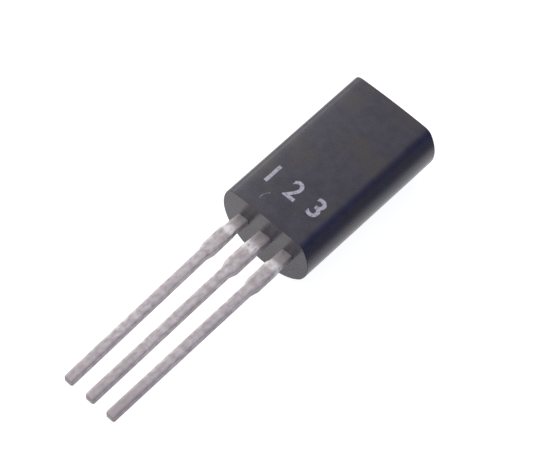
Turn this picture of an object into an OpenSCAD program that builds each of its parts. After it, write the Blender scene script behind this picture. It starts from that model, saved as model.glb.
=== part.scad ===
// Three-lead transistor in the long-body moulded D outline.
// The part lies on its round back. +Z is the normal of the flat marking face,
// +Y runs from the lead tips to the top of the body, +X runs across the flat.
// The origin is under the middle of the whole part, on the surface it lies on.

/* [Body] */
// Width across the two round sides
body_w = 4.9; // [4.0:0.05:6.0]
// Thickness from the flat face to the round back
body_t = 3.75; // [3.5:0.05:4.6]
// Height from the lead end to the top end
body_h = 8.05; // [6.6:0.05:10]
// How much larger the back's radius is than the sides' radius
back_ease = 0.15; // [0:0.05:0.4]
// How far the back is flattened against the full round of the sides
back_relief = 0.12; // [0.05:0.01:0.3]
// Width of the narrow flat along the middle of the back, which keeps the part from rocking
back_flat = 0.5; // [0:0.05:0.8]
// Rounding of the edges around both ends
end_r = 0.06; // [0.04:0.01:0.3]

/* [Leads outside the body] */
// Spacing between neighbouring leads
pitch = 1.27; // [1.0:0.01:1.55]
// Length from the body to the cut tips
lead_len = 10.65; // [8:0.05:14]
// Thickness of the lead strip
lead_t = 0.37; // [0.3:0.01:0.46]
// Depth of the leads' upper face below the flat
lead_depth = 1.4; // [1.25:0.05:1.7]
// Width of the thin part of a lead
lead_w = 0.45; // [0.35:0.01:0.55]
// Width of a side lead's neck, where it leaves the body
neck_w = 0.54; // [0.35:0.01:0.6]
// Width of a side lead's shoulder, left by the tie bar
shoulder_w = 0.64; // [0.55:0.01:0.8]
// Width of the middle lead's neck
collector_neck_w = 0.64; // [0.35:0.01:0.66]
// Width of the middle lead's shoulder
collector_shoulder_w = 0.7; // [0.6:0.01:0.8]
// Length of the neck
neck_len = 0.7; // [0.3:0.05:1.2]
// Length of the slope from the neck to the shoulder
rise_len = 0.25; // [0.1:0.05:0.5]
// Length of the shoulder
shoulder_len = 1.15; // [0.6:0.01:2]
// Length of the slope from the shoulder to the thin part
fall_len = 0.35; // [0.1:0.01:1]

/* [How the leads lie] */
// Emitter lead, sideways shift at its shoulder
emitter_bend = -0.07; // [-0.1:0.01:0.1]
// Emitter lead, sideways shift at its tip
emitter_lean = 0.2; // [-0.3:0.01:0.3]
// Collector lead, sideways shift at its shoulder
collector_bend = -0.02; // [-0.1:0.01:0.1]
// Collector lead, sideways shift at its tip
collector_lean = 0.16; // [-0.3:0.01:0.3]
// Base lead, sideways shift at its shoulder
base_bend = -0.01; // [-0.1:0.01:0.1]
// Base lead, sideways shift at its tip
base_lean = 0.08; // [-0.3:0.01:0.3]

/* [Lead frame inside the body] */
// Height of the bonding posts above the lead end
post_rise = 1.3; // [0.8:0.05:1.6]
// Width of a bonding post
post_w = 0.86; // [0.6:0.02:0.9]
// Length of a bonding post
post_len = 0.9; // [0.6:0.05:1.2]
// Gap between the posts and the chip's paddle
frame_gap = 0.35; // [0.25:0.05:0.5]
// Width of the paddle
paddle_w = 2.4; // [1.6:0.1:2.8]
// Length of the paddle
paddle_len = 2.7; // [2.4:0.1:3]
// Diameter of the hole that keys the paddle into the resin
key_d = 0.6; // [0.3:0.05:0.8]
// Material left between the key hole and the paddle's far edge
key_edge = 0.3; // [0.2:0.05:0.4]

/* [Chip and wires] */
// Side of the square chip
chip_w = 0.9; // [0.5:0.05:1.2]
// Thickness of the chip
chip_t = 0.25; // [0.15:0.01:0.3]
// Distance from the paddle's near edge to the chip
chip_inset = 0.35; // [0.2:0.05:0.4]
// Width of the solder showing around the chip
attach_margin = 0.08; // [0.04:0.02:0.15]
// Thickness of the solder under the chip
attach_t = 0.05; // [0.03:0.01:0.08]
// Diameter of the bond wire
wire_d = 0.05; // [0.04:0.01:0.07]
// Height of a wire's loop over the line between its ends
loop_h = 0.5; // [0.4:0.05:0.6]
// Diameter of the ball bond on the chip
ball_d = 0.14; // [0.12:0.01:0.18]
// Diameter of the stitch bond on the post
stitch_d = 0.16; // [0.12:0.01:0.2]
// Height of the ball and stitch bonds
bond_h = 0.04; // [0.03:0.01:0.06]

/* [Hidden] */
$fn = 96;

side_r = body_w / 2;
back_r = side_r + back_ease;
// Height of the side arcs' centre and of the back arc's centre above the back
side_z = side_r - back_relief;
back_z = sqrt(back_r * back_r - back_flat * back_flat / 4);

lead_top = body_t - lead_depth;
lead_bottom = lead_top - lead_t;
shoulder_at = neck_len + rise_len;
fall_at = shoulder_at + shoulder_len;
thin_at = fall_at + fall_len;

paddle_at = post_rise + post_len + frame_gap;
chip_y = paddle_at + chip_inset + chip_w / 2;
chip_bottom = lead_top + attach_t;
chip_top = chip_bottom + chip_t;
key_y = paddle_at + paddle_len - key_edge - key_d / 2;
// The two contact pads lie on the chip's near half, a quarter of its side from the middle
pad_x = chip_w / 4;
pad_y = chip_y - chip_w / 4;

// Shift that puts the middle of the whole length on the origin
centre_y = (lead_len - body_h) / 2;
// Overlap for cutting tools, so that they pass right through
past = 1;

// A closed strip symmetric about a centreline: rows of [y, centre x, half width]
function strip(rows) = concat(
    [for (row = rows) [row[1] + row[2], row[0]]],
    [for (i = [len(rows) - 1 : -1 : 0]) [rows[i][1] - rows[i][2], rows[i][0]]]);

// Centre of a lead at a distance below the body, in along its bend and lean
function lead_x(x, bend, lean, below) =
    below < shoulder_at ? x + bend * below / shoulder_at
    : x + bend + (lean - bend) * (below - shoulder_at) / (lead_len - shoulder_at);

// The stations below the body at which a lead changes its width
function stations(neck, shoulder) = [
    [lead_len, lead_w], [thin_at, lead_w], [fall_at, shoulder],
    [shoulder_at, shoulder], [neck_len, neck]];

function lead_rows(x, bend, lean, neck, shoulder) =
    [for (s = stations(neck, shoulder)) [-s[0], lead_x(x, bend, lean, s[0]), s[1] / 2]];

// A round blank along Y, with both its end edges rounded
module turned_blank(r) {
    rotate([-90, 0, 0]) rotate_extrude() union() {
        square([r - end_r, body_h]);
        translate([0, end_r]) square([r, body_h - 2 * end_r]);
        for (y = [end_r, body_h - end_r]) translate([r - end_r, y]) circle(end_r);
    }
}

// What lies between the back's narrow flat and the marking face: a slab across X with its
// two upper end edges rounded
module flat_slab() {
    rotate([90, 0, 90]) linear_extrude(height = 2 * back_r + 2 * past, center = true) union() {
        square([body_h, body_t - end_r]);
        translate([end_r, 0]) square([body_h - 2 * end_r, body_t]);
        for (y = [end_r, body_h - end_r]) translate([y, body_t - end_r]) circle(end_r);
    }
}

module body_blank() {
    intersection() {
        translate([0, 0, side_z]) turned_blank(side_r);
        translate([0, 0, back_z]) turned_blank(back_r);
        flat_slab();
    }
}

module place() {
    translate([0, centre_y, 0]) children();
}

module at_lead_level() {
    translate([0, 0, lead_bottom]) linear_extrude(height = lead_t) children();
}

// A side lead with its bonding post
module post_lead(x, bend, lean) {
    at_lead_level() polygon(strip(concat(
        lead_rows(x, bend, lean, neck_w, shoulder_w),
        [[0, x, neck_w / 2], [post_rise, x, neck_w / 2],
         [post_rise, x, post_w / 2], [post_rise + post_len, x, post_w / 2]])));
}

// The middle lead with the paddle that carries the chip
module paddle_lead() {
    at_lead_level() difference() {
        polygon(strip(concat(
            lead_rows(0, collector_bend, collector_lean, collector_neck_w, collector_shoulder_w),
            [[0, 0, collector_neck_w / 2], [paddle_at, 0, collector_neck_w / 2],
             [paddle_at, 0, paddle_w / 2], [paddle_at + paddle_len, 0, paddle_w / 2]])));
        translate([0, key_y]) circle(d = key_d);
    }
}

module square_plate(side, z, t) {
    translate([-side / 2, chip_y - side / 2, z]) cube([side, side, t]);
}

// A bond wire: ball on the chip, round loop, stitch on the post beside x
module bond_wire(side) {
    from = [side * pad_x, pad_y, chip_top];
    to = [side * pitch, post_rise + post_len / 2, lead_top];
    run = to - from;
    span = norm([run[0], run[1]]);
    drop = -run[2];
    chord = norm([span, drop]);
    r = (chord * chord / 4 + loop_h * loop_h) / (2 * loop_h);
    // Centre of the loop's circle, in the upright plane through both ends
    centre = [span / 2 + (loop_h - r) * drop / chord, -drop / 2 + (loop_h - r) * span / chord];
    from_a = atan2(-centre[1], -centre[0]);
    to_a = atan2(-drop - centre[1], span - centre[0]);
    // The tube runs on past both ends, and is cut off on the chip and on the post
    over_a = 8;
    translate(from) rotate([0, 0, atan2(run[1], run[0])]) {
        difference() {
            rotate([90, 0, 0]) translate([centre[0], centre[1], 0]) rotate([0, 0, to_a - over_a])
                rotate_extrude(angle = from_a - to_a + 2 * over_a)
                    translate([r, 0]) circle(d = wire_d, $fn = 24);
            translate([-past, -past, -past]) cube([past + span / 2, 2 * past, past]);
            translate([span / 2, -past, -drop - past]) cube([span / 2 + past, 2 * past, past]);
        }
        cylinder(d = ball_d, h = bond_h);
        translate([span, 0, -drop]) cylinder(d = stitch_d, h = bond_h);
    }
}

module body() {
    color([0.09, 0.09, 0.1]) place() difference() {
        body_blank();
        post_lead(-pitch, emitter_bend, emitter_lean);
        paddle_lead();
        post_lead(pitch, base_bend, base_lean);
        square_plate(chip_w + 2 * attach_margin, lead_top, attach_t);
        square_plate(chip_w, chip_bottom, chip_t);
        for (side = [-1, 1]) bond_wire(side);
    }
}

module emitter_lead() {
    color([0.66, 0.64, 0.63]) place() post_lead(-pitch, emitter_bend, emitter_lean);
}

module collector_lead() {
    color([0.66, 0.64, 0.63]) place() paddle_lead();
}

module base_lead() {
    color([0.66, 0.64, 0.63]) place() post_lead(pitch, base_bend, base_lean);
}

module chip() {
    color([0.28, 0.3, 0.36]) place() square_plate(chip_w, chip_bottom, chip_t);
}

module die_attach() {
    color([0.55, 0.55, 0.53]) place() square_plate(chip_w + 2 * attach_margin, lead_top, attach_t);
}

module emitter_wire() {
    color([0.9, 0.7, 0.3]) place() bond_wire(-1);
}

module base_wire() {
    color([0.9, 0.7, 0.3]) place() bond_wire(1);
}

body();
emitter_lead();
collector_lead();
base_lead();
chip();
die_attach();
emitter_wire();
base_wire();
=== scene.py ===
"""The looks of a three-lead moulded transistor, lying on its round back on a pale floor.

The resin body and the three tinned leads are modelled here and stand for their plain CAD
nodes. The chip, its solder and the bond wires inside the body stay as the CAD has them and
get their finishes here. Lengths in the classes are in millimetres, places are in the frame
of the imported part, and everything given to Blender is in metres.
"""

import logging
import math
from contextlib import contextmanager
from dataclasses import dataclass, field
from enum import Enum
from typing import Callable, ClassVar, Iterator, Sequence

import bmesh
import bpy
from mathutils import Matrix, Vector

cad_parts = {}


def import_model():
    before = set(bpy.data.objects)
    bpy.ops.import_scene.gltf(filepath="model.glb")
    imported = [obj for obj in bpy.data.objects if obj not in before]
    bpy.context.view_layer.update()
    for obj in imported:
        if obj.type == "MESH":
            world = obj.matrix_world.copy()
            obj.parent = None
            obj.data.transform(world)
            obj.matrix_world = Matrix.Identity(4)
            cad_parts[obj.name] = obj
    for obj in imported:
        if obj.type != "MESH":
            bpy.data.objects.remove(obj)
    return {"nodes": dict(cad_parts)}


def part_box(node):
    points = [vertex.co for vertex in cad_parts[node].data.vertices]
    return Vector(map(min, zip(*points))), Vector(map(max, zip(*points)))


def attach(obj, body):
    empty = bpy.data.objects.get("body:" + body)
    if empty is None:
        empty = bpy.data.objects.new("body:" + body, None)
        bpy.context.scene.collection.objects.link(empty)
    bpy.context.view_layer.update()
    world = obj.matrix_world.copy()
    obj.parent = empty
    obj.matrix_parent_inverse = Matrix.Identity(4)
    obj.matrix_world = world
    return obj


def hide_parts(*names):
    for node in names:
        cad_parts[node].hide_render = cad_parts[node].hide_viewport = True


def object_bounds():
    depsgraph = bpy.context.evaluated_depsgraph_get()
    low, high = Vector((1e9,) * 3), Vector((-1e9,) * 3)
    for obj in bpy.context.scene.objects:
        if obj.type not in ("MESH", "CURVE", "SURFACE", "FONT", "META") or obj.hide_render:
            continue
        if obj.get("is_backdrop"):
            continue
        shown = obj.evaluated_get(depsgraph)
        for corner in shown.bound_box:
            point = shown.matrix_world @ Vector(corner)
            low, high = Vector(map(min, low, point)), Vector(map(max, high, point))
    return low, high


MM = 0.001
SAME_POINT = 1e-7  # how near two points count as one, in metres
ON_PLANE = 1e-8  # how near a cutting plane a point counts as on it, in metres
FACING = 0.9  # how much of its normal a face has along an axis that it is square to
ROOT = "root"

Rgb = tuple[float, float, float]
Point = tuple[float, float, float]
Ramp = tuple[float, ...]  # a low and a high value, and what they become if not 0 and 1

log = logging.getLogger("transistor")


# ---------------- modelling by hand


def to_metres(x: float, y: float, z: float) -> Vector:
    """A point given in millimetres, in metres."""
    return Vector((x, y, z)) * MM


def deselect_all() -> None:
    """Leave nothing selected, so that an operator acts only on what comes next."""
    bpy.ops.object.select_all(action="DESELECT")


def make_active(obj: bpy.types.Object) -> None:
    """Select one object and nothing else.

    Args:
        obj: The object that operators act on next.
    """
    deselect_all()
    obj.select_set(True)
    bpy.context.view_layer.objects.active = obj


class Parts(Enum):
    """The parts of a mesh that edit mode selects, by the operators' names for them."""

    POINTS = "VERT"
    EDGES = "EDGE"
    FACES = "FACE"


@contextmanager
def editing(obj: bpy.types.Object, kind: Parts = Parts.FACES) -> Iterator[None]:
    """Hold an object in edit mode with nothing selected.

    Args:
        obj: The mesh object to edit.
        kind: What is selected in it.

    Yields:
        Nothing; the object is back in object mode afterwards.
    """
    make_active(obj)
    bpy.ops.object.mode_set(mode="EDIT")
    bpy.ops.mesh.select_mode(type=kind.value)
    bpy.ops.mesh.select_all(action="DESELECT")
    try:
        yield
    finally:
        bpy.ops.object.mode_set(mode="OBJECT")


def pick(obj: bpy.types.Object, kind: Parts, wanted: Callable[..., bool]) -> None:
    """Select the edges or faces of the mesh in edit mode that pass a test, and nothing else.

    Args:
        obj: The object in edit mode.
        kind: Which of the two are tested.
        wanted: Says of one of them whether it is picked.
    """
    bpy.ops.mesh.select_all(action="DESELECT")
    mesh = bmesh.from_edit_mesh(obj.data)
    tested = mesh.edges if kind is Parts.EDGES else mesh.faces
    for part in [part for part in tested if wanted(part)]:
        part.select_set(True)
    bmesh.update_edit_mesh(obj.data)


def is_sharp(edge: bmesh.types.BMEdge, degrees: float) -> bool:
    """Whether an edge's two faces meet at more than the given angle."""
    return edge.is_manifold and edge.calc_face_angle(0.0) > math.radians(degrees)


def merge_doubles() -> None:
    """Merge the doubled points of the mesh in edit mode, and leave all of it selected."""
    bpy.ops.mesh.select_all(action="SELECT")
    bpy.ops.mesh.remove_doubles(threshold=SAME_POINT)


def clear_slivers(obj: bpy.types.Object) -> None:
    """Merge a mesh's doubled points and dissolve the slivers that Booleans leave.

    Args:
        obj: The mesh object.
    """
    with editing(obj, Parts.POINTS):
        merge_doubles()
        bpy.ops.mesh.dissolve_degenerate(threshold=SAME_POINT)


def settle(obj: bpy.types.Object) -> None:
    """Move an object's place, turn and scale into its mesh, so that it sits at the origin."""
    make_active(obj)
    bpy.ops.object.transform_apply(location=True, rotation=True, scale=True)


def apply_modifier(obj: bpy.types.Object, modifier: bpy.types.Modifier) -> None:
    """Apply one modifier to its mesh."""
    make_active(obj)
    bpy.ops.object.modifier_apply(modifier=modifier.name)


def cut_out(obj: bpy.types.Object, tool: bpy.types.Object) -> None:
    """Cut one mesh out of another by an exact Boolean.

    Args:
        obj: The mesh that is cut.
        tool: The mesh that is cut out of it, which stays as it is.
    """
    step = obj.modifiers.new("cut", "BOOLEAN")
    step.operation = "DIFFERENCE"
    step.solver = "EXACT"
    step.object = tool
    apply_modifier(obj, step)


def copy_of(obj: bpy.types.Object, name: str) -> bpy.types.Object:
    """A copy with its own mesh, whose doubled points are merged.

    Args:
        obj: What is copied.
        name: The copy's name.

    Returns:
        The copy, linked to the scene and parented to nothing.
    """
    twin = bpy.data.objects.new(name, obj.data.copy())
    bpy.context.scene.collection.objects.link(twin)
    with editing(twin, Parts.POINTS):
        merge_doubles()
    return twin


def discard(obj: bpy.types.Object) -> None:
    """Remove a helper object and its mesh.

    Args:
        obj: The helper.
    """
    mesh = obj.data
    bpy.data.objects.remove(obj)
    bpy.data.meshes.remove(mesh)


def round_off_end(obj: bpy.types.Object, way: int, radius: float, steps: int) -> None:
    """Draw the end face out in steps, each a little smaller, so that its rim is round.

    Args:
        obj: A mesh object whose end face stands square to Y, and is still flat.
        way: 1 for the end towards +Y, -1 for the end towards -Y.
        radius: The rim's radius in millimetres, which is also how far the end comes out.
        steps: How many steps the rounding has.
    """
    with editing(obj):
        pick(obj, Parts.FACES, lambda face: face.normal.y * way > FACING)
        for step in range(steps):
            start, end = (math.pi / 2 * i / steps for i in (step, step + 1))
            shrink = radius * (math.cos(start) - math.cos(end))
            advance = radius * (math.sin(end) - math.sin(start))
            bpy.ops.mesh.inset(thickness=shrink * MM, use_even_offset=True)
            bpy.ops.transform.translate(value=to_metres(0, way * advance, 0))


def smooth(obj: bpy.types.Object, crisp_from: float) -> None:
    """Shade a mesh smooth, with its sharp edges kept crisp and its large faces kept plane.

    Args:
        obj: The mesh object.
        crisp_from: The angle between two faces, in degrees, past which their edge is sharp.
    """
    make_active(obj)
    bpy.ops.object.shade_smooth_by_angle(angle=math.radians(crisp_from))
    weigh = obj.modifiers.new("weigh", "WEIGHTED_NORMAL")
    weigh.keep_sharp = True
    apply_modifier(obj, weigh)


# ---------------- node materials


@dataclass
class NodeSheet:
    """A node tree that is filled one node at a time, from left to right."""

    tree: bpy.types.NodeTree
    column: int = 0
    column_width: int = 190

    def add(self, kind: str, inputs: dict | None = None, **settings: object) -> bpy.types.Node:
        """Add a node, set it up and wire it.

        Args:
            kind: The node's type name.
            inputs: What goes into its inputs, by name or number: a socket is linked, and
                anything else is a value.
            **settings: The node's own settings.

        Returns:
            The new node.
        """
        node = self.tree.nodes.new(kind)
        node.location = (self.column * self.column_width, 0)
        self.column += 1
        for key, value in settings.items():
            setattr(node, key, value)
        for key, value in (inputs or {}).items():
            if isinstance(value, bpy.types.NodeSocket):
                self.tree.links.new(value, node.inputs[key])
            else:
                node.inputs[key].default_value = value
        return node

    def math(self, operation: str, *values: object, clamp: bool = False) -> bpy.types.NodeSocket:
        """The result of a Math node on the given sockets or numbers."""
        inputs = dict(enumerate(values))
        return self.add("ShaderNodeMath", inputs, operation=operation, use_clamp=clamp).outputs[0]

    def blend(self, factor: object, first: object, second: object) -> bpy.types.NodeSocket:
        """A colour between two, by a factor from 0 to 1."""
        # A Mix node has its colours in its sockets 6 and 7, and the result in its output 2.
        inputs = {0: factor, 6: first, 7: second}
        return self.add("ShaderNodeMix", inputs, data_type="RGBA").outputs[2]

    def spread(self, value: object, low: float, high: float,
               to_low: float = 0.0, to_high: float = 1.0) -> bpy.types.NodeSocket:
        """A value carried smoothly from one range to another, and held at both ends."""
        inputs = {"Value": value, "From Min": low, "From Max": high,
                  "To Min": to_low, "To Max": to_high}
        return self.add("ShaderNodeMapRange", inputs, interpolation_type="SMOOTHSTEP").outputs[0]

    def swing(self, mask: object, middle: float, width: float) -> bpy.types.NodeSocket:
        """A value that a mask moves from half a width below its middle to half above it."""
        return self.spread(mask, 0.0, 1.0, middle - width / 2, middle + width / 2)

    def relief(self, mask: object, height_mm: float, strength: float,
               **inputs: object) -> bpy.types.NodeSocket:
        """The normal over a fine relief, which stands height_mm high where its mask is 1."""
        inputs |= {"Strength": strength, "Distance": height_mm * MM, "Height": mask}
        return self.add("ShaderNodeBump", inputs).outputs[0]


def rgba(colour: Rgb) -> tuple[float, float, float, float]:
    """A colour with full opacity."""
    return (*colour, 1.0)


def new_group(name: str, values: dict[str, float],
              outputs: Sequence[str]) -> tuple[NodeSheet, bpy.types.Node, bpy.types.Node]:
    """Start a shader node group that works from the place on the piece.

    Args:
        name: The group's name.
        values: The names of its other inputs with their default values.
        outputs: The names of its outputs, which all carry plain values.

    Returns:
        The sheet to fill, its input node and its output node.
    """
    tree = bpy.data.node_groups.new(name, "ShaderNodeTree")
    tree.interface.new_socket(name="Place", in_out="INPUT", socket_type="NodeSocketVector")
    for label, value in values.items():
        socket = tree.interface.new_socket(name=label, in_out="INPUT",
                                           socket_type="NodeSocketFloat")
        socket.default_value = value
    for label in outputs:
        tree.interface.new_socket(name=label, in_out="OUTPUT", socket_type="NodeSocketFloat")
    sheet = NodeSheet(tree)
    return sheet, sheet.add("NodeGroupInput"), tree.nodes.new("NodeGroupOutput")


@dataclass
class SharedEffects:
    """The node groups, each built once and placed in the materials with its own values."""

    noise_roughness: float = 0.55
    noise_detail: tuple[float, float] = (3.0, 2.0)
    noise_middle: Ramp = (0.25, 0.75)
    speck_least: float = 0.4
    mottle: bpy.types.NodeTree = field(init=False)
    specks: bpy.types.NodeTree = field(init=False)

    def __post_init__(self) -> None:
        """Build the groups."""
        self.mottle = self._build_mottle()
        self.specks = self._build_specks()

    def _build_mottle(self) -> bpy.types.NodeTree:
        """Cloudy patches and a finer grain, from the place on the piece.

        Returns:
            A group with the outputs Patches and Grain, both from 0 to 1 about a middle of 0.5.
        """
        labels = ("Patches", "Grain")
        sheet, given, out = new_group(
            "mottle", {"Patches mm": 0.4, "Grain mm": 0.05, "Stretch": 1.0}, labels)
        along = sheet.add("ShaderNodeCombineXYZ", {0: 1.0, 1: given.outputs["Stretch"], 2: 1.0})
        placed = sheet.add("ShaderNodeVectorMath",
                           {0: given.outputs["Place"], 1: along.outputs[0]}, operation="MULTIPLY")
        for label, detail in zip(labels, self.noise_detail):
            scale = sheet.math("DIVIDE", 1.0 / MM, given.outputs[f"{label} mm"])
            noise = sheet.add("ShaderNodeTexNoise",
                              {"Vector": placed.outputs[0], "Scale": scale, "Detail": detail,
                               "Roughness": self.noise_roughness})
            even = sheet.spread(noise.outputs["Fac"], *self.noise_middle)
            sheet.tree.links.new(even, out.inputs[label])
        return sheet.tree

    def _build_specks(self) -> bpy.types.NodeTree:
        """Small scattered specks of uneven size, whose radius is a share of their spacing.

        Returns:
            A group whose output Specks is 1 in the middle of a speck and 0 between them.
        """
        sheet, given, out = new_group(
            "specks", {"Spacing mm": 0.6, "Share": 0.3, "Speck radius": 0.1}, ("Specks",))
        scale = sheet.math("DIVIDE", 1.0 / MM, given.outputs["Spacing mm"])
        cells = sheet.add("ShaderNodeTexVoronoi",
                          {"Vector": given.outputs["Place"], "Scale": scale})
        chance = sheet.add("ShaderNodeSeparateColor", {0: cells.outputs["Color"]})
        kept = sheet.math("LESS_THAN", chance.outputs[0], given.outputs["Share"])
        radius = sheet.math("MULTIPLY", given.outputs["Speck radius"],
                            sheet.math("ADD", chance.outputs[1], self.speck_least))
        out_from_middle = sheet.math("DIVIDE", cells.outputs["Distance"], radius)
        inside = sheet.math("SUBTRACT", 1.0, out_from_middle, clamp=True)
        sheet.tree.links.new(sheet.math("MULTIPLY", kept, inside), out.inputs["Specks"])
        return sheet.tree

    def mottled(self, sheet: NodeSheet, place: bpy.types.NodeSocket, patch_mm: float,
                grain_mm: float, stretch: float = 1.0) -> bpy.types.NodeOutputs:
        """The outputs of the mottle, drawn out along the part where stretch is under 1."""
        inputs = {"Place": place, "Patches mm": patch_mm, "Grain mm": grain_mm,
                  "Stretch": stretch}
        return sheet.add("ShaderNodeGroup", inputs, node_tree=self.mottle).outputs


class Finish:
    """What every finish shares: an empty material with a Principled shader."""

    shader_at: ClassVar[tuple[int, int]] = (2600, 300)
    output_at: ClassVar[tuple[int, int]] = (2900, 300)

    @staticmethod
    def start(name: str) -> tuple[bpy.types.Material, NodeSheet, bpy.types.Node,
                                  bpy.types.NodeSocket]:
        """Start a material.

        Args:
            name: The material's name.

        Returns:
            The material, its sheet, its Principled shader and the place on the piece.
        """
        material = bpy.data.materials.new(name)
        material.use_nodes = True
        material.node_tree.nodes.clear()
        sheet = NodeSheet(material.node_tree)
        place = sheet.add("ShaderNodeTexCoord").outputs["Object"]
        shader = material.node_tree.nodes.new("ShaderNodeBsdfPrincipled")
        out = material.node_tree.nodes.new("ShaderNodeOutputMaterial")
        shader.location, out.location = Finish.shader_at, Finish.output_at
        material.node_tree.links.new(shader.outputs[0], out.inputs["Surface"])
        return material, sheet, shader, place

    @staticmethod
    def link(sheet: NodeSheet, shader: bpy.types.Node,
             sockets: dict[str, bpy.types.NodeSocket]) -> None:
        """Wire values to the shader's sockets by name."""
        for name, socket in sockets.items():
            sheet.tree.links.new(socket, shader.inputs[name])


@dataclass(frozen=True)
class MouldedResin(Finish):
    """Black filled epoxy with a satin moulded skin."""

    lead_end: float
    face_z: float
    dark: Rgb = (0.040, 0.037, 0.048)
    light: Rgb = (0.059, 0.055, 0.069)
    brown: Rgb = (0.063, 0.054, 0.048)
    brown_where: Ramp = (0.4, 1.0, 0.0, 0.8)
    dust: Rgb = (0.16, 0.155, 0.15)
    dust_strength: float = 0.35
    speck_spacing: float = 0.35
    speck_share: float = 0.16
    speck_r: float = 0.16
    # Painted highlight: a short pale arc on the marking face where the rim of a round mould mark
    # would catch the light.
    rim_glint: Rgb = (0.32, 0.31, 0.32)
    ring_x: float = -0.42
    ring_rise: float = 0.66
    ring_r: float = 0.44
    ring_w: float = 0.035
    ring_left: float = 0.26
    ring_below: float = 0.11
    ring_broken: Ramp = (0.2, 0.8, 0.3, 1.0)
    roughness: float = 0.25
    roughness_swing: float = 0.08
    ior: float = 1.45
    slow_mm: float = 1.5
    patch_mm: float = 0.45
    grain_mm: float = 0.07
    grain_height_mm: float = 0.0006
    grain_bump: float = 0.6

    def _rim_glint_mask(self, sheet: NodeSheet, place: bpy.types.NodeSocket,
                    grain: bpy.types.NodeSocket) -> bpy.types.NodeSocket:
        """Where the marking face has its painted highlight: a short pale arc, the lit part of the
        rim of a round mould mark that is not modelled.

        Args:
            sheet: The material's sheet.
            place: The place on the piece.
            grain: The resin's grain, from 0 to 1.

        Returns:
            A mask from 0 to 1.
        """
        centre = to_metres(self.ring_x, self.lead_end + self.ring_rise, self.face_z)
        away = sheet.add("ShaderNodeVectorMath", {0: place, 1: centre}, operation="DISTANCE")
        from_ring = sheet.math("SUBTRACT", away.outputs["Value"], self.ring_r * MM)
        ring = sheet.spread(sheet.math("ABSOLUTE", from_ring), 0.0, self.ring_w * MM, 1.0, 0.0)
        across = sheet.add("ShaderNodeSeparateXYZ", {0: place}).outputs
        left = sheet.math("LESS_THAN", across["X"], centre.x - self.ring_left * MM)
        upper = sheet.math("GREATER_THAN", across["Y"], centre.y - self.ring_below * MM)
        there = sheet.math("MULTIPLY", ring, sheet.math("MULTIPLY", left, upper))
        return sheet.math("MULTIPLY", there, sheet.spread(grain, *self.ring_broken))

    def build(self, effects: SharedEffects) -> bpy.types.Material:
        """Build the material.

        Args:
            effects: The shared node groups.

        Returns:
            The material.
        """
        material, sheet, shader, place = self.start("moulded_resin")
        slow = effects.mottled(sheet, place, self.slow_mm, self.patch_mm)
        mottle = effects.mottled(sheet, place, self.patch_mm, self.grain_mm)
        specks = sheet.add("ShaderNodeGroup",
                           {"Place": place, "Spacing mm": self.speck_spacing,
                            "Share": self.speck_share, "Speck radius": self.speck_r},
                           node_tree=effects.specks).outputs["Specks"]
        tone = sheet.blend(mottle["Patches"], rgba(self.dark), rgba(self.light))
        browned = sheet.blend(sheet.spread(slow["Patches"], *self.brown_where), tone,
                              rgba(self.brown))
        dusted = sheet.blend(sheet.math("MULTIPLY", specks, self.dust_strength), browned,
                             rgba(self.dust))
        # Painted highlight: the pale arc on the marking face.
        colour = sheet.blend(self._rim_glint_mask(sheet, place, mottle["Grain"]), dusted,
                             rgba(self.rim_glint))
        rough = sheet.swing(mottle["Grain"], self.roughness, self.roughness_swing)
        normal = sheet.relief(mottle["Grain"], self.grain_height_mm, self.grain_bump)
        self.link(sheet, shader, {"Base Color": colour, "Roughness": rough, "Normal": normal})
        shader.inputs["IOR"].default_value = self.ior
        return material


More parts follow.
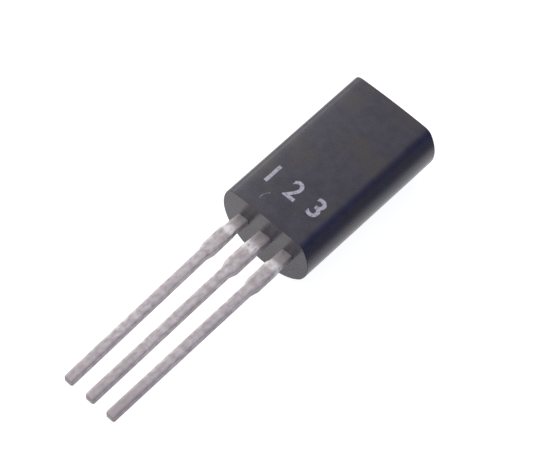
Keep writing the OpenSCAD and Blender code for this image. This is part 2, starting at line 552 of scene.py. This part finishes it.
@dataclass(frozen=True)
class TinnedMetal(Finish):
    """Dull solder-dipped tin in soft uneven patches.

    It has a painted highlight, a band of lighter tin just below the body that stands in for
    glints on the shoulders, and it is duller towards the tips.
    """

    mouth_y: float
    tip_y: float
    dark: Rgb = (0.39, 0.34, 0.342)
    light: Rgb = (0.585, 0.54, 0.528)
    dull: Rgb = (0.34, 0.299, 0.297)
    # Painted highlight: the light tin colour of the band below the body, standing in for glints
    # on the shoulders.
    tin_glint: Rgb = (0.76, 0.725, 0.715)
    dull_share: float = 0.45
    tip_dull: float = 0.45
    tip_fade: float = 4.0
    tin_glint_from: float = 1.06
    tin_glint_to: float = 0.66
    tin_glint_soft: float = 0.14
    tin_glint_where: Ramp = (-0.2, 0.7)
    roughness: float = 0.46
    roughness_swing: float = -0.14
    metallic: float = 0.65
    slow_mm: float = 2.4
    slow_stretch: float = 0.8
    patch_mm: float = 0.18
    patch_stretch: float = 0.6
    patch_height_mm: float = 0.0015
    patch_bump: float = 0.5
    grain_mm: float = 0.05
    grain_height_mm: float = 0.0004
    grain_bump: float = 0.6

    def _tin_glint_band(self, sheet: NodeSheet, along: bpy.types.NodeSocket,
                    patches: bpy.types.NodeSocket) -> bpy.types.NodeSocket:
        """Where the painted highlight goes: patches within a band across the leads, just below
        the body.

        Args:
            sheet: The material's sheet.
            along: The place along the lead.
            patches: The tin's patches, from 0 to 1.

        Returns:
            A mask from 0 to 1.
        """
        low, high = ((self.mouth_y - below) * MM for below in (self.tin_glint_from, self.tin_glint_to))
        soft = self.tin_glint_soft * MM
        band = sheet.math("MULTIPLY", sheet.spread(along, low - soft, low + soft),
                          sheet.spread(along, high - soft, high + soft, 1.0, 0.0))
        return sheet.math("MULTIPLY", band, sheet.spread(patches, *self.tin_glint_where))

    def build(self, effects: SharedEffects) -> bpy.types.Material:
        """Build the material.

        Args:
            effects: The shared node groups.

        Returns:
            The material.
        """
        material, sheet, shader, place = self.start("tinned_lead")
        mottle = effects.mottled(sheet, place, self.patch_mm, self.grain_mm, self.patch_stretch)
        slow = effects.mottled(sheet, place, self.slow_mm, self.patch_mm, self.slow_stretch)
        tone = sheet.blend(mottle["Patches"], rgba(self.dark), rgba(self.light))
        along = sheet.add("ShaderNodeSeparateXYZ", {0: place}).outputs["Y"]
        handled = sheet.spread(along, self.tip_y * MM, (self.tip_y + self.tip_fade) * MM,
                               self.tip_dull, 0.0)
        worn = sheet.math("MULTIPLY_ADD", slow["Patches"], self.dull_share, handled)
        duller = sheet.blend(worn, tone, rgba(self.dull))
        # Painted highlight: a band just below the body is given the lighter tin colour.
        tin_glint = self._tin_glint_band(sheet, along, mottle["Patches"])
        colour = sheet.blend(tin_glint, duller, rgba(self.tin_glint))
        rough = sheet.swing(mottle["Patches"], self.roughness, self.roughness_swing)
        soft = sheet.relief(mottle["Patches"], self.patch_height_mm, self.patch_bump)
        fine = sheet.relief(mottle["Grain"], self.grain_height_mm, self.grain_bump, Normal=soft)
        self.link(sheet, shader, {"Base Color": colour, "Roughness": rough, "Normal": fine})
        shader.inputs["Metallic"].default_value = self.metallic
        return material


@dataclass(frozen=True)
class PlainInner(Finish):
    """The finish of a small inner piece, with a faint mottle."""

    name: str
    dark: Rgb
    light: Rgb
    metallic: float
    roughness: float
    patch_mm: float
    grain_share: float = 0.2
    swing_share: float = 0.4

    def build(self, effects: SharedEffects) -> bpy.types.Material:
        """Build the material.

        Args:
            effects: The shared node groups.

        Returns:
            The material.
        """
        material, sheet, shader, place = self.start(self.name)
        mottle = effects.mottled(sheet, place, self.patch_mm, self.patch_mm * self.grain_share)
        tone = sheet.blend(mottle["Patches"], rgba(self.dark), rgba(self.light))
        rough = sheet.swing(mottle["Grain"], self.roughness, self.roughness * self.swing_share)
        self.link(sheet, shader, {"Base Color": tone, "Roughness": rough})
        shader.inputs["Metallic"].default_value = self.metallic
        return material


@dataclass(frozen=True)
class PaleInk(Finish):
    """Pale grey marking ink, a little open where the resin shows through."""

    solid: Rgb = (0.46, 0.44, 0.47)
    thin: Rgb = (0.24, 0.23, 0.26)
    solid_where: Ramp = (0.1, 0.6)
    patch_mm: float = 0.12
    grain_mm: float = 0.03
    roughness: float = 0.6
    roughness_swing: float = 0.2

    def build(self, effects: SharedEffects) -> bpy.types.Material:
        """Build the material.

        Args:
            effects: The shared node groups.

        Returns:
            The material.
        """
        material, sheet, shader, place = self.start("marking_ink")
        mottle = effects.mottled(sheet, place, self.patch_mm, self.grain_mm)
        tone = sheet.blend(sheet.spread(mottle["Patches"], *self.solid_where), rgba(self.thin),
                           rgba(self.solid))
        rough = sheet.swing(mottle["Grain"], self.roughness, self.roughness_swing)
        self.link(sheet, shader, {"Base Color": tone, "Roughness": rough})
        return material


# ---------------- the resin body


@dataclass
class MouldedBody:
    """The D-shaped resin moulding: round sides, a slightly easier round back and a flat front."""

    box: tuple[Vector, Vector]
    side_r: float = 2.45
    side_z: float = 2.33
    back_r: float = 2.6
    back_flat: float = 0.5
    long_edge_r: float = 0.45
    rim_r: float = 0.035
    crown: float = 0.07
    ink_room: float = 0.006
    side_steps: int = 20
    back_steps: int = 34
    crown_steps: int = 16
    edge_steps: int = 5
    crisp_from: float = 30.0
    lead_end: float = field(init=False)
    top_end: float = field(init=False)
    crown_top: float = field(init=False)
    back_z: float = field(init=False)
    piece: bpy.types.Object = field(init=False)

    def __post_init__(self) -> None:
        """Take the body's ends and the top of its crown from the frame."""
        low, high = self.box
        self.lead_end, self.top_end = low.y / MM, high.y / MM
        self.crown_top = high.z / MM - self.ink_room
        self.back_z = math.sqrt(self.back_r ** 2 - self.back_flat ** 2 / 4)

    @property
    def crown_r(self) -> float:
        """The radius of the very slight crown that the marking face has across its width."""
        half = math.sqrt(self.side_r ** 2 - (self.crown_top - self.crown - self.side_z) ** 2)
        return (half ** 2 + self.crown ** 2) / (2 * self.crown)

    def slope_at(self, x: float) -> float:
        """How far the marking face is turned about Y at a place across it, in radians."""
        return math.asin(x / self.crown_r)

    def face_at(self, x: float) -> float:
        """The height of the marking face at a place across it."""
        return self.crown_top - self.crown_r * (1 - math.cos(self.slope_at(x)))

    def _side_and_back(self) -> tuple[float, float]:
        """Where a side arc and the back arc meet.

        Returns:
            The angle below level of that point, seen from the side arc's centre and from
            the back's.
        """
        apart = self.back_z - self.side_z
        off_middle = (self.side_r ** 2 - self.back_r ** 2) / (2 * apart)
        meet_z = (self.side_z + self.back_z) / 2 + off_middle
        return (math.asin((self.side_z - meet_z) / self.side_r),
                math.asin((self.back_z - meet_z) / self.back_r))

    def _long_edge(self, crown_z: float) -> tuple[float, float, float, float]:
        """Where the rounding of a long edge touches a side arc and the crown from inside.

        Args:
            crown_z: The height of the crown arc's centre.

        Returns:
            The rounding's centre, across the body and up, and the angles above level at
            which it leaves the side and meets the crown.
        """
        apart = self.side_z - crown_z
        to_side, to_crown = (radius - self.long_edge_r for radius in (self.side_r, self.crown_r))
        above = (to_crown ** 2 - to_side ** 2 - apart ** 2) / (2 * apart)
        across = math.sqrt(to_side ** 2 - above ** 2)
        leave, meet = (math.atan2(rise, across) for rise in (above, above + apart))
        return across, self.side_z + above, leave, meet

    def _draw_section(self) -> None:
        """Draw the outline at the lead end arc by arc, fill it and cut the back's narrow flat."""
        y = self.lead_end + self.rim_r
        crown_z = self.crown_top - self.crown_r
        side_end, back_start = self._side_and_back()
        edge_x, edge_z, leave, meet = self._long_edge(crown_z)
        side = (0, self.side_z, leave + side_end, self.side_steps)
        back = (0, self.back_z, math.pi - 2 * back_start, self.back_steps)
        crown = (0, crown_z, math.pi - 2 * meet, self.crown_steps)
        left, right = ((x, edge_z, meet - leave, self.edge_steps) for x in (-edge_x, edge_x))
        deselect_all()
        bpy.ops.mesh.primitive_plane_add(
            size=self.rim_r * MM,
            location=to_metres(self.side_r * math.cos(leave), y,
                               self.side_z + self.side_r * math.sin(leave)))
        self.piece = bpy.context.object
        self.piece.name = "resin_body"
        settle(self.piece)
        with editing(self.piece, Parts.POINTS):
            bpy.ops.mesh.select_all(action="SELECT")
            bpy.ops.mesh.merge(type="CENTER")
            for x, z, angle, steps in (side, back, side, left, crown, right):
                bpy.ops.mesh.spin(steps=steps, angle=angle, center=to_metres(x, y, z),
                                  axis=(0, -1, 0))
            merge_doubles()
            bpy.ops.mesh.edge_face_add()
            bpy.ops.mesh.bisect(plane_co=(0, 0, 0), plane_no=(0, 0, 1), clear_inner=True,
                                threshold=ON_PLANE)

    def _draw_out(self) -> None:
        """Draw the section out to the body's length, short of the rims' rounding."""
        move = to_metres(0, self.top_end - self.lead_end - 2 * self.rim_r, 0)
        with editing(self.piece):
            bpy.ops.mesh.select_all(action="SELECT")
            bpy.ops.mesh.extrude_region_move(TRANSFORM_OT_translate={"value": move})
            bpy.ops.mesh.select_all(action="SELECT")
            bpy.ops.mesh.normals_make_consistent(inside=False)

    def build(self, cutters: Sequence[bpy.types.Object]) -> None:
        """Model the body.

        Args:
            cutters: What the resin is cast round, taken out of it one by one.
        """
        self._draw_section()
        self._draw_out()
        for way in (-1, 1):
            round_off_end(self.piece, way, self.rim_r, self.edge_steps)
        for cutter in cutters:
            cut_out(self.piece, cutter)
        clear_slivers(self.piece)
        smooth(self.piece, self.crisp_from)


# ---------------- the leads


class LeadRole(Enum):
    """Which lead it is, with the name of its CAD node."""

    EMITTER = "emitter_lead"
    COLLECTOR = "collector_lead"
    BASE = "base_lead"


@dataclass(frozen=True)
class HeadSizes:
    """The sizes of what a lead ends in, with its start measured from the body's lead end."""

    rise: float
    width: float
    length: float


class Head(Enum):
    """What a lead ends in, inside the resin."""

    POST = HeadSizes(rise=1.30, width=0.86, length=0.90)
    PADDLE = HeadSizes(rise=2.55, width=2.40, length=2.70)


@dataclass
class Lead:
    """One stamped and tinned lead, from its cut tip to its head inside the resin."""

    role: LeadRole
    head: Head
    root_x: float
    bend: float
    lean: float
    root_y: float
    tip_y: float
    top_z: float
    thickness: float = 0.37
    thin_w: float = 0.45
    neck_w: float = 0.54
    shoulder_w: float = 0.64
    neck_end: float = 0.70
    shoulder_start: float = 0.95
    shoulder_end: float = 2.10
    thin_start: float = 2.45
    key_d: float = 0.60
    key_rise: float = 4.65
    key_sides: int = 48
    tip_r: float = 0.10
    tip_steps: int = 4
    edge_r: float = 0.008
    edge_steps: int = 2
    edge_from: float = 40.0
    edge_into_body: float = 0.02
    step: float = 0.15
    finer_levels: int = 2
    unevenness: float = 0.005
    fade: float = 0.25
    crisp_from: float = 50.0
    piece: bpy.types.Object = field(init=False)

    @property
    def length(self) -> float:
        """How far the tip is below the body."""
        return self.root_y - self.tip_y

    @property
    def middle_z(self) -> float:
        """The height of the middle of the lead's thickness."""
        return self.top_z - self.thickness / 2

    def width_at(self, below: float) -> float:
        """The lead's width at a distance below the body.

        Args:
            below: The distance below the body, negative inside it.

        Returns:
            The width, straight between the stations.
        """
        stations = ((self.neck_end, self.neck_w), (self.shoulder_start, self.shoulder_w),
                    (self.shoulder_end, self.shoulder_w), (self.thin_start, self.thin_w))
        if below <= self.neck_end:
            return self.neck_w
        for (start, first), (end, last) in zip(stations, stations[1:]):
            if below <= end:
                return first + (last - first) * (below - start) / (end - start)
        return self.thin_w

    def centre_at(self, below: float) -> float:
        """The lead's centre across the row at a distance below the body.

        Args:
            below: The distance below the body, negative inside it.

        Returns:
            The place across the row.
        """
        if below <= 0:
            return self.root_x
        if below < self.shoulder_start:
            return self.root_x + self.bend * below / self.shoulder_start
        share = (below - self.shoulder_start) / (self.length - self.shoulder_start)
        return self.root_x + self.bend + (self.lean - self.bend) * share

    def _stations(self) -> list[float]:
        """Where the strip has a ring of points outside the resin.

        Returns:
            The distances below the body, from the tip up.
        """
        marks = (self.length, self.thin_start, self.shoulder_end, self.shoulder_start,
                 self.neck_end, 0.0)
        rows = [self.length]
        for start, end in zip(marks, marks[1:]):
            count = max(1, round((start - end) / self.step))
            rows += [start + (end - start) * (i + 1) / count for i in range(count)]
        return rows

    def _draw_strip(self) -> None:
        """Start from a block at the tip and extrude it up to the body and into the head."""
        rows = self._stations()
        block = rows[0] - rows[1]
        deselect_all()
        bpy.ops.mesh.primitive_cube_add(
            size=1, scale=to_metres(self.thin_w, block, self.thickness),
            location=to_metres(self.centre_at(rows[0]), self.tip_y + block / 2, self.middle_z))
        self.piece = bpy.context.object
        self.piece.name = f"tinned_{self.role.value}"
        settle(self.piece)
        head = self.head.value
        rows += [-head.rise, -head.rise - head.length]
        with editing(self.piece):
            pick(self.piece, Parts.FACES, lambda face: face.normal.y > FACING)
            for before, after in zip(rows[1:], rows[2:]):
                self._extrude_to(before, after)
            self._widen_head()

    def _extrude_to(self, before: float, after: float) -> None:
        """Extrude the picked end face to the next station, in place and in width.

        Args:
            before: Where the end face is, as a distance below the body.
            after: Where it goes.
        """
        centre = self.centre_at(after)
        move = to_metres(centre - self.centre_at(before), before - after, 0)
        bpy.ops.mesh.extrude_region_move(TRANSFORM_OT_translate={"value": move})
        bpy.ops.transform.resize(
            value=(self.width_at(after) / self.width_at(before), 1, 1), orient_type="GLOBAL",
            center_override=to_metres(centre, self.root_y - after, self.top_z))

    def _widen_head(self) -> None:
        """Pull the sides of the head out to its full width."""
        head = self.head.value
        start = (self.root_y + head.rise) * MM - SAME_POINT
        for way in (-1, 1):
            move = to_metres(way * (head.width - self.neck_w) / 2, 0, 0)
            pick(self.piece, Parts.FACES, lambda face: face.normal.x * way > FACING
                 and min(vert.co.y for vert in face.verts) > start)
            bpy.ops.mesh.extrude_region_move(TRANSFORM_OT_translate={"value": move})

    def _drill_key(self) -> None:
        """Drill the hole that keys the paddle into the resin."""
        through = 3 * self.thickness
        deselect_all()
        bpy.ops.mesh.primitive_cylinder_add(
            vertices=self.key_sides, radius=self.key_d / 2 * MM, depth=through * MM,
            location=to_metres(self.root_x, self.root_y + self.key_rise, self.middle_z))
        drill = bpy.context.object
        settle(drill)
        cut_out(self.piece, drill)
        discard(drill)

    def _round_edges(self) -> None:
        """Round the cut tip first and then the long edges, as tumbling and tinning leave them."""
        tip_side = self.tip_y * MM + SAME_POINT
        body_side = (self.root_y + self.edge_into_body) * MM
        with editing(self.piece, Parts.EDGES):
            pick(self.piece, Parts.EDGES,
                 lambda edge: max(vert.co.y for vert in edge.verts) < tip_side)
            bpy.ops.mesh.bevel(offset=self.tip_r * MM, segments=self.tip_steps, affect="EDGES")
            pick(self.piece, Parts.EDGES, lambda edge: is_sharp(edge, self.edge_from)
                 and max(vert.co.y for vert in edge.verts) < body_side)
            bpy.ops.mesh.bevel(offset=self.edge_r * MM, segments=self.edge_steps, affect="EDGES",
                               clamp_overlap=True)

    def shape(self) -> None:
        """Model the lead, still plain enough to cut the resin with."""
        self._draw_strip()
        if self.head is Head.PADDLE:
            self._drill_key()
        self._round_edges()

    def roughen(self, clouds: bpy.types.Texture) -> None:
        """Give the tinned part outside the resin its slight unevenness.

        Args:
            clouds: The cloudy texture that pushes the surface in and out.
        """
        finer = self.piece.modifiers.new("finer", "SUBSURF")
        finer.subdivision_type = "SIMPLE"
        finer.levels = finer.render_levels = self.finer_levels
        apply_modifier(self.piece, finer)
        group = self.piece.vertex_groups.new(name="tinned_outside")
        for vert in self.piece.data.vertices:
            from_mouth = self.root_y - vert.co.y / MM
            from_tip = vert.co.y / MM - self.tip_y
            weight = min(from_mouth, from_tip) / self.fade
            group.add([vert.index], max(0.0, min(1.0, weight)), "REPLACE")
        uneven = self.piece.modifiers.new("uneven", "DISPLACE")
        uneven.texture = clouds
        uneven.texture_coords = "LOCAL"
        uneven.strength = self.unevenness * MM
        uneven.mid_level = 0.5
        uneven.vertex_group = group.name
        apply_modifier(self.piece, uneven)
        smooth(self.piece, self.crisp_from)


def tin_clouds(size_mm: float = 0.8) -> bpy.types.Texture:
    """The cloudy texture that makes the dipped leads uneven.

    Args:
        size_mm: The size of its clouds.

    Returns:
        The texture.
    """
    clouds = bpy.data.textures.new("tin_clouds", "CLOUDS")
    clouds.noise_scale = size_mm * MM
    clouds.noise_depth = 1
    return clouds


# ---------------- the marking


@dataclass
class PinNumbers:
    """Plain pin numbers in pale ink on the flat, each over its lead."""

    body: MouldedBody
    pitch: float
    ink_t: float = 0.008
    rise: float = 1.35
    letter_size: float = 1.36
    heavier: float = 0.022
    piece: bpy.types.Object = field(init=False)

    def _write(self, text: str, x: float) -> bpy.types.Object:
        """Write one number as a thin solid.

        Args:
            text: The number.
            x: Where it stands across the flat.

        Returns:
            The number as a mesh in its place.
        """
        deselect_all()
        bpy.ops.object.text_add(
            location=to_metres(x, self.body.lead_end + self.rise, self.body.face_at(x)),
            rotation=(0, self.body.slope_at(x), 0))
        number = bpy.context.object
        number.data.body = text
        number.data.align_x = "CENTER"
        number.data.size = self.letter_size * MM
        number.data.offset = self.heavier * MM
        number.data.extrude = self.ink_t / 2 * MM
        bpy.ops.object.convert(target="MESH")
        number = bpy.context.object
        settle(number)
        with editing(number, Parts.POINTS):
            merge_doubles()
            bpy.ops.mesh.normals_make_consistent(inside=False)
        return number

    def build(self) -> None:
        """Print the three numbers as one piece."""
        places = (("1", -self.pitch), ("2", 0.0), ("3", self.pitch))
        numbers = [self._write(text, x) for text, x in places]
        deselect_all()
        for number in numbers:
            number.select_set(True)
        bpy.context.view_layer.objects.active = numbers[0]
        bpy.ops.object.join()
        self.piece = bpy.context.object
        self.piece.name = "pin_numbers"


# ---------------- studio


@dataclass
class Studio:
    """The pale floor, soft light and camera."""

    camera_at: Point = (41.847, -43.983, 102.386)
    looks_at: Point = (0.120, 1.477, 2.0)
    right: Point = (0.72722, 0.68635, 0.00854)
    lens: float = 185.53
    sensor: float = 36.0
    nearest: float = 1.0
    furthest: float = 10000.0
    floor_side: float = 800.0
    floor_colour: Rgb = (0.35, 0.35, 0.35)
    floor_roughness: float = 0.9
    floor_shown: Rgb = (0.93, 0.93, 0.93)
    # Painted reflection: the glow that glossy and transmission rays see on the floor, which fades
    # out to the part's right.
    floor_mirrored: Rgb = (0.83, 0.80, 0.785)
    mirror_from: float = 3.8
    mirror_to: float = 6.8
    key_at: Point = (-174.0, -4.0, 131.0)
    key_size: tuple[float, float] = (250.0, 180.0)
    key_share: float = 0.39
    dome_way: Point = (-0.55, -0.20, 0.80)
    dome_from: float = 0.10
    dome_to: float = 0.85
    dome_dim: Rgb = (0.11, 0.15, 0.46)
    dome_bright: Rgb = (0.80, 0.80, 0.80)
    air_shown: Rgb = (1.0, 1.0, 1.0)

    def build_camera(self) -> None:
        """Place the camera and make it the scene's."""
        deselect_all()
        bpy.ops.object.camera_add(location=to_metres(*self.camera_at))
        camera = bpy.context.object
        back = (Vector(self.camera_at) - Vector(self.looks_at)).normalized()
        up = back.cross(Vector(self.right)).normalized()
        side = up.cross(back)
        camera.rotation_euler = Matrix((side, up, back)).transposed().to_euler()
        camera.data.sensor_width = self.sensor
        camera.data.lens = self.lens
        camera.data.clip_start = self.nearest * MM
        camera.data.clip_end = self.furthest * MM
        bpy.context.scene.camera = camera

    def build_floor(self) -> None:
        """Lay the floor that the part lies on."""
        deselect_all()
        bpy.ops.mesh.primitive_plane_add(size=self.floor_side * MM)
        floor = bpy.context.object
        floor.name = "floor"
        material = bpy.data.materials.new("pale_floor")
        material.use_nodes = True
        shader = material.node_tree.nodes["Principled BSDF"]
        shader.inputs["Base Color"].default_value = rgba(self.floor_colour)
        shader.inputs["Roughness"].default_value = self.floor_roughness
        shader.inputs["Specular IOR Level"].default_value = 0.0
        sheet = NodeSheet(material.node_tree)
        rays = sheet.add("ShaderNodeLightPath").outputs
        # For glossy and transmission rays the floor glows too, but only where X is under
        # mirror_from, fading out by mirror_to: a painted reflection. The camera sees the floor
        # glow evenly.
        mirrored = sheet.math("MAXIMUM", rays["Is Glossy Ray"], rays["Is Transmission Ray"])
        place = sheet.add("ShaderNodeTexCoord").outputs["Object"]
        across = sheet.add("ShaderNodeSeparateXYZ", {0: place}).outputs["X"]
        near = sheet.spread(across, self.mirror_from * MM, self.mirror_to * MM, 1.0, 0.0)
        in_mirror = sheet.math("MULTIPLY", mirrored, near)
        shown = sheet.math("MAXIMUM", rays["Is Camera Ray"], in_mirror)
        colour = sheet.blend(rays["Is Camera Ray"], rgba(self.floor_mirrored),
                             rgba(self.floor_shown))
        Finish.link(sheet, shader, {"Emission Color": colour, "Emission Strength": shown})
        floor.data.materials.append(material)
        floor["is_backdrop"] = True

    def build_key(self) -> None:
        """Hang the soft key light, which lights a white floor to its share of white."""
        place = to_metres(*self.key_at)
        deselect_all()
        bpy.ops.object.light_add(type="AREA", location=place)
        lamp = bpy.context.object
        lamp.name = "key_light"
        lamp.rotation_euler = place.to_track_quat("Z", "Y").to_euler()
        lamp.data.shape = "RECTANGLE"
        lamp.data.size, lamp.data.size_y = (side * MM for side in self.key_size)
        slant = place.z / place.length
        lamp.data.energy = self.key_share * math.pi ** 2 * place.length_squared / slant

    def build_dome(self) -> None:
        """Light the air: bright overhead and towards one side, dim towards the horizon."""
        world = bpy.data.worlds.new("studio_air")
        bpy.context.scene.world = world
        world.use_nodes = True
        sheet = NodeSheet(world.node_tree)
        way = sheet.add("ShaderNodeTexCoord").outputs["Generated"]
        towards = sheet.add("ShaderNodeVectorMath",
                            {0: way, 1: Vector(self.dome_way).normalized()},
                            operation="DOT_PRODUCT")
        share = sheet.spread(towards.outputs["Value"], self.dome_from, self.dome_to)
        colour = sheet.blend(share, rgba(self.dome_dim), rgba(self.dome_bright))
        rays = sheet.add("ShaderNodeLightPath").outputs
        seen = sheet.blend(rays["Is Camera Ray"], colour, rgba(self.air_shown))
        background = world.node_tree.nodes["Background"]
        background.inputs["Strength"].default_value = 1.0
        world.node_tree.links.new(seen, background.inputs["Color"])

    def build(self) -> None:
        """Build the whole studio."""
        self.build_camera()
        self.build_floor()
        self.build_key()
        self.build_dome()


# ---------------- putting it together


def paint(obj: bpy.types.Object, material: bpy.types.Material) -> None:
    """Give an object one material and no other, and report it.

    Args:
        obj: A finished new piece, or a CAD node that stays.
        material: Its material.
    """
    obj.data.materials.clear()
    obj.data.materials.append(material)
    log.info("%s: %d faces, %s", obj.name, len(obj.data.polygons), material.name)


def dress(piece: bpy.types.Object, material: bpy.types.Material,
          stands_for: str | None = None) -> None:
    """Paint a new piece and hang it under the frame's root body.

    Args:
        piece: The finished piece.
        material: Its material.
        stands_for: The CAD node that it is shown instead of, if there is one.
    """
    paint(piece, material)
    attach(piece, ROOT)
    if stands_for:
        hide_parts(stands_for)


def main() -> None:
    """Build the looks around the frame, piece by piece."""
    logging.basicConfig(level=logging.INFO, format="%(name)s: %(message)s")
    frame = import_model()
    cad_box = tuple(corner.copy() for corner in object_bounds())
    nodes = frame["nodes"]
    effects = SharedEffects()
    silicon = PlainInner("silicon", dark=(0.17, 0.19, 0.25), light=(0.22, 0.24, 0.31),
                         metallic=0.0, roughness=0.2, patch_mm=0.2)
    solder = PlainInner("solder", dark=(0.42, 0.42, 0.41), light=(0.56, 0.56, 0.55),
                        metallic=1.0, roughness=0.45, patch_mm=0.1)
    gold = PlainInner("bond_wire", dark=(0.80, 0.56, 0.20), light=(0.92, 0.70, 0.30),
                      metallic=1.0, roughness=0.25, patch_mm=0.05)
    inner = {"chip": silicon, "die_attach": solder, "emitter_wire": gold, "base_wire": gold}

    body_box, lead_box = (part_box(name) for name in ("body", LeadRole.COLLECTOR.value))
    mouth_y, tip_y = body_box[0].y / MM, lead_box[0].y / MM
    ends = {"root_y": mouth_y, "tip_y": tip_y, "top_z": lead_box[1].z / MM}
    leads = (
        Lead(LeadRole.EMITTER, Head.POST, root_x=-1.27, bend=-0.07, lean=0.20, **ends),
        Lead(LeadRole.COLLECTOR, Head.PADDLE, root_x=0.0, bend=-0.02, lean=0.16,
             neck_w=0.64, shoulder_w=0.70, **ends),
        Lead(LeadRole.BASE, Head.POST, root_x=1.27, bend=-0.01, lean=0.08, **ends),
    )
    for lead in leads:
        lead.shape()
    copies = [copy_of(nodes[name], f"cut_{name}") for name in inner]
    body = MouldedBody(body_box)
    body.build([*(lead.piece for lead in leads), *copies])
    for copy in copies:
        discard(copy)

    clouds = tin_clouds()
    tin = TinnedMetal(mouth_y, tip_y).build(effects)
    for lead in leads:
        lead.roughen(clouds)
        dress(lead.piece, tin, lead.role.value)
    resin = MouldedResin(body.lead_end, body.crown_top).build(effects)
    dress(body.piece, resin, "body")
    numbers = PinNumbers(body, pitch=leads[2].root_x)
    numbers.build()
    dress(numbers.piece, PaleInk().build(effects))
    inner_materials = {finish: finish.build(effects) for finish in (silicon, solder, gold)}
    for name, finish in inner.items():
        paint(nodes[name], inner_materials[finish])

    Studio().build()
    bpy.context.scene.view_settings.view_transform = "Standard"


if __name__ == "__main__":
    main()
